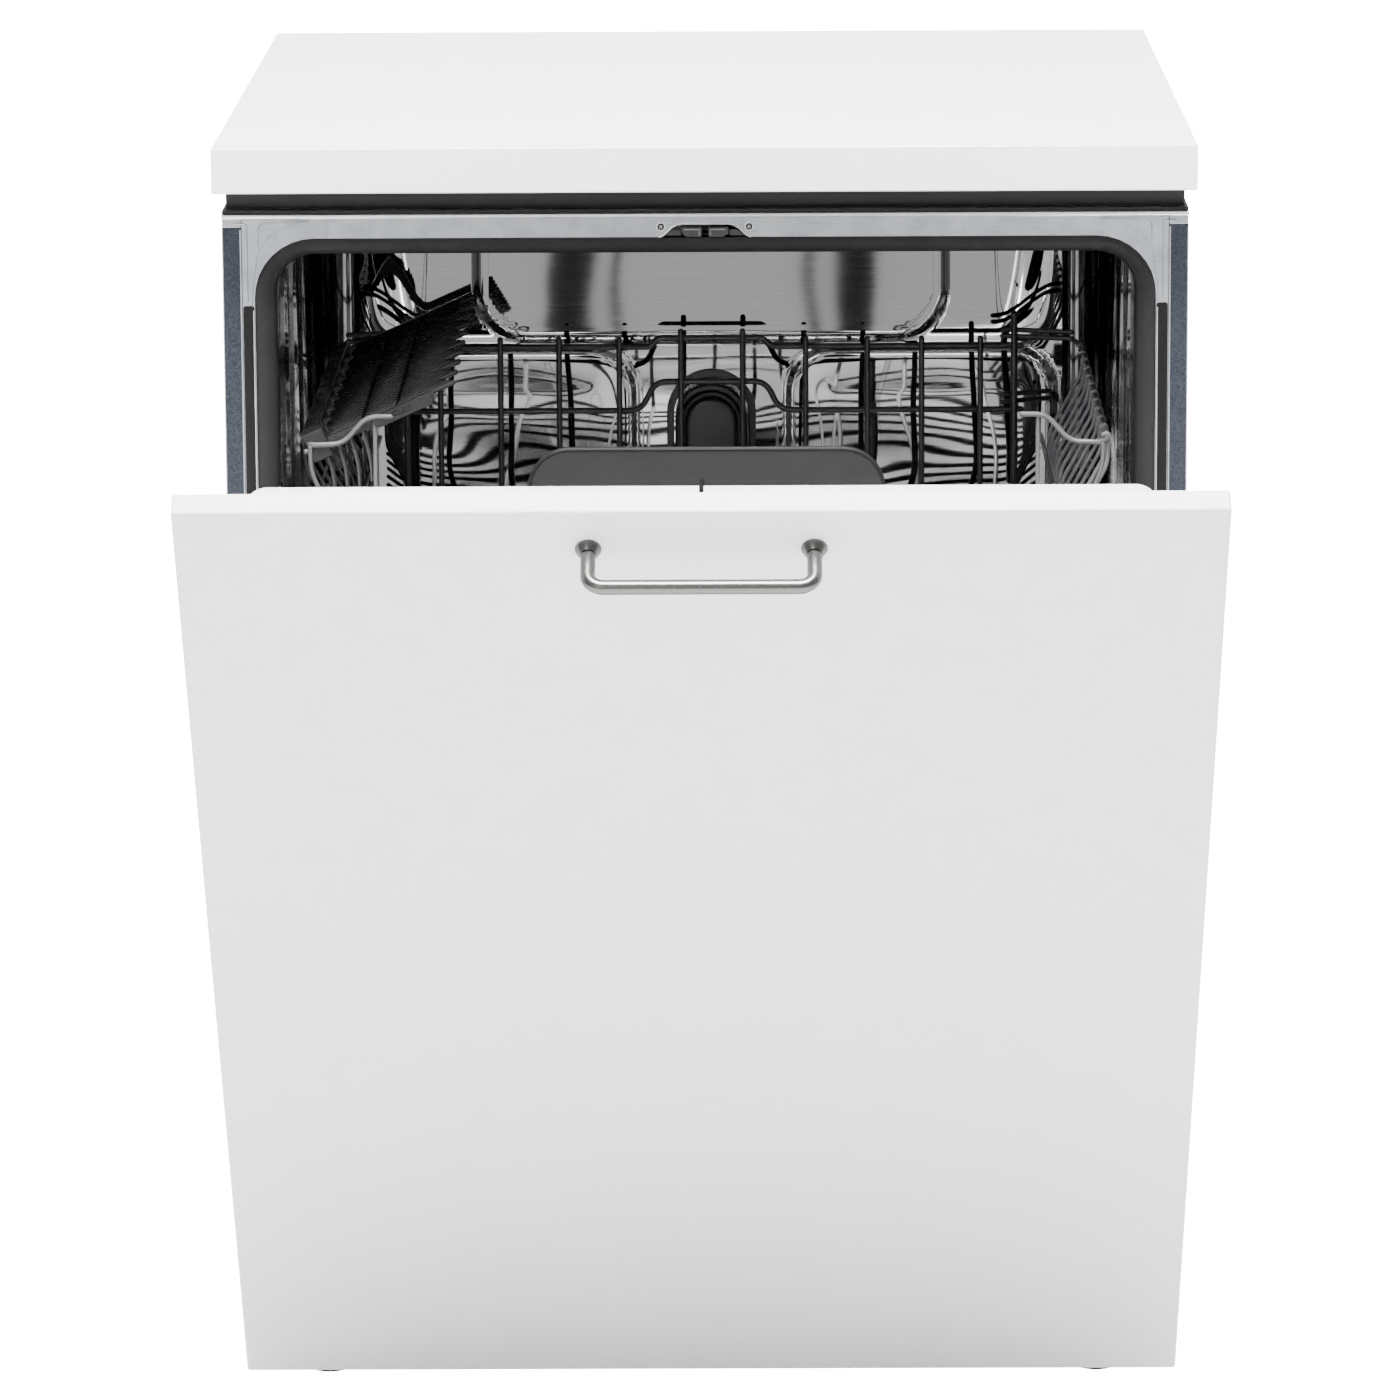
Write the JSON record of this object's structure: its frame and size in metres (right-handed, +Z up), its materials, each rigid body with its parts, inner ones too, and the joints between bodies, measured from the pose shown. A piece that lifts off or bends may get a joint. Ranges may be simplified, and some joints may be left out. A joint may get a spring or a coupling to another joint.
{
  "type": "built-in dishwasher",
  "caption": "Built-in dishwasher with a worktop, a tilting door with a furniture front and bar handle, and wire baskets that slide in a steel tub.",
  "frame": {"origin": "centre of the bounding box at floor level, door at its stored opening", "axes": "+Z up, -Y towards the person opening the door, +X to their right"},
  "size_m": [0.604, 1.0414, 0.848],
  "materials": {
    "stainless": "bright drawn stainless sheet",
    "galvanised": "spangled galvanised sheet",
    "dark_galvanised": "dark zinc-coated sheet",
    "seal_rubber": "moulded seal",
    "black_plastic": "matt black moulding",
    "dark_plastic": "matt dark grey moulding",
    "grey_plastic": "satin grey moulding",
    "tank_plastic": "natural polypropylene moulding",
    "light_plastic": "light grey moulding",
    "button_plastic": "grey cap",
    "white_plastic": "white moulding",
    "white_laminate": "white laminate on board",
    "front_laminate": "matt white laminate on board",
    "brushed_nickel": "brushed nickel finish",
    "striker_steel": "bright plated steel",
    "coated_wire": "steel wire with a grey coating",
    "cast_weight": "rough cast"
  },
  "bodies": {
    "cabinet": {"tub": "stainless", "front_frame": "galvanised", "door_gasket": "seal_rubber", "side_panel_left": "dark_galvanised", "side_panel_right": "dark_galvanised", "back_panel": "dark_galvanised", "worktop": "white_laminate", "trim_strip": "black_plastic", "worktop_bracket_left": "galvanised", "worktop_bracket_right": "galvanised", "base_tray": "black_plastic", "sump": "grey_plastic", "circulation_pump": "grey_plastic", "drain_pump": "grey_plastic", "water_softener": "tank_plastic", "counterweight": "cast_weight", "water_inlet": "white_plastic", "drain_outlet": "grey_plastic", "power_inlet": "black_plastic", "latch_housing": "grey_plastic", "hinge_bracket_left": "galvanised", "hinge_bracket_right": "galvanised", "feed_duct": "dark_plastic", "basket_rail_left": "stainless", "basket_rail_right": "stainless", "foot_front_left": "black_plastic", "foot_front_right": "black_plastic", "foot_back_left": "black_plastic", "foot_back_right": "black_plastic"},
    "door": {"door_skin": "dark_galvanised", "door_liner": "stainless", "control_fascia": "light_plastic", "striker": "striker_steel", "hinge_arm_left": "galvanised", "hinge_arm_right": "galvanised", "dispenser_housing": "grey_plastic"},
    "front_panel": {"furniture_panel": "front_laminate", "handle_bar": "brushed_nickel", "handle_rosette_left": "brushed_nickel", "handle_rosette_right": "brushed_nickel"},
    "power_button": {"power_button": "button_plastic"},
    "dispenser_lid": {"dispenser_lid": "light_plastic"},
    "rinse_cap": {"rinse_cap": "light_plastic"},
    "upper_basket": {"upper_basket": "coated_wire", "basket_handle_plate": "dark_plastic"},
    "cup_shelf": {"cup_shelf": "dark_plastic"},
    "upper_spray_arm": {"upper_spray_arm": "grey_plastic"},
    "lower_basket": {"lower_basket": "coated_wire", "wheel_carrier_left": "grey_plastic", "wheel_carrier_right": "grey_plastic"},
    "plate_tines": {"plate_tines": "coated_wire"},
    "cutlery_basket": {"cutlery_basket": "grey_plastic"},
    "lower_spray_arm": {"lower_spray_arm": "grey_plastic"},
    "filter_cup": {"filter_cup": "grey_plastic"},
    "salt_cap": {"salt_cap": "white_plastic"},
    "float": {"float": "white_plastic"},
    "wheel_front_left": {"wheel_front_left": "grey_plastic"},
    "wheel_front_right": {"wheel_front_right": "grey_plastic"},
    "wheel_back_left": {"wheel_back_left": "grey_plastic"},
    "wheel_back_right": {"wheel_back_right": "grey_plastic"}
  },
  "joints": [
    {"name": "door_hinge", "type": "hinge", "parent": "cabinet", "child": "door", "pos_m": [0, -0.08335, 0.148], "axis": [1, 0, 0], "range_deg": [-36, 54]},
    {"name": "panel_slide", "type": "slide", "parent": "door", "child": "front_panel", "axis": [0, -0.5878, 0.809], "range_m": [-0.0221, 0.0331]},
    {"name": "power_button_press", "type": "slide", "parent": "door", "child": "power_button", "axis": [0, -0.5878, 0.809], "range_m": [-0.0024, 0], "stiffness_N_per_m": 400},
    {"name": "dispenser_lid_hinge", "type": "hinge", "parent": "door", "child": "dispenser_lid", "pos_m": [-0.074, -0.27081, 0.44072], "axis": [0, -0.5878, 0.809], "range_deg": [0, 110]},
    {"name": "rinse_cap_turn", "type": "hinge", "parent": "door", "child": "rinse_cap", "pos_m": [0.042, -0.27113, 0.44049], "axis": [0, 0.809, 0.5878], "range_deg": [0, 90]},
    {"name": "upper_basket_slide", "type": "slide", "parent": "cabinet", "child": "upper_basket", "axis": [0, -1, 0], "range_m": [0, 0.2]},
    {"name": "cup_shelf_fold", "type": "hinge", "parent": "upper_basket", "child": "cup_shelf", "pos_m": [-0.25, -0.05335, 0.65], "axis": [0, -1, 0], "range_deg": [0, 56]},
    {"name": "upper_spray_spin", "type": "hinge", "parent": "upper_basket", "child": "upper_spray_arm", "pos_m": [0, 0.18665, 0.477], "axis": [0, 0, 1], "continuous": true},
    {"name": "lower_basket_slide", "type": "slide", "parent": "cabinet", "child": "lower_basket", "axis": [0, -1, 0], "range_m": [0, 0.04]},
    {"name": "plate_tines_fold", "type": "hinge", "parent": "lower_basket", "child": "plate_tines", "pos_m": [-0.067, 0.24465, 0.205], "axis": [1, 0, 0], "range_deg": [0, 84]},
    {"name": "cutlery_basket_lift", "type": "slide", "parent": "lower_basket", "child": "cutlery_basket", "axis": [0, 0, 1], "range_m": [0, 0.06]},
    {"name": "wheel_front_left_spin", "type": "hinge", "parent": "lower_basket", "child": "wheel_front_left", "pos_m": [-0.246, 0.03965, 0.1786], "axis": [1, 0, 0], "continuous": true},
    {"name": "wheel_front_right_spin", "type": "hinge", "parent": "lower_basket", "child": "wheel_front_right", "pos_m": [0.246, 0.03965, 0.1786], "axis": [1, 0, 0], "continuous": true},
    {"name": "wheel_back_left_spin", "type": "hinge", "parent": "lower_basket", "child": "wheel_back_left", "pos_m": [-0.246, 0.36465, 0.1786], "axis": [1, 0, 0], "continuous": true},
    {"name": "wheel_back_right_spin", "type": "hinge", "parent": "lower_basket", "child": "wheel_back_right", "pos_m": [0.246, 0.36465, 0.1786], "axis": [1, 0, 0], "continuous": true},
    {"name": "lower_spray_spin", "type": "hinge", "parent": "cabinet", "child": "lower_spray_arm", "pos_m": [0, 0.22465, 0.177], "axis": [0, 0, 1], "continuous": true},
    {"name": "filter_turn", "type": "hinge", "parent": "cabinet", "child": "filter_cup", "pos_m": [0, 0.22465, 0.16], "axis": [0, 0, 1], "range_deg": [0, 90]},
    {"name": "salt_cap_turn", "type": "hinge", "parent": "cabinet", "child": "salt_cap", "pos_m": [-0.18, 0.35465, 0.165], "axis": [0, 0, 1], "range_deg": [0, 90]},
    {"name": "float_rise", "type": "slide", "parent": "cabinet", "child": "float", "axis": [0, 0, 1], "range_m": [0, 0.007]}
  ],
  "couplings": [
    {"joint": "panel_slide", "follows": "door_hinge", "m_per_rad": 0.035}
  ]
}
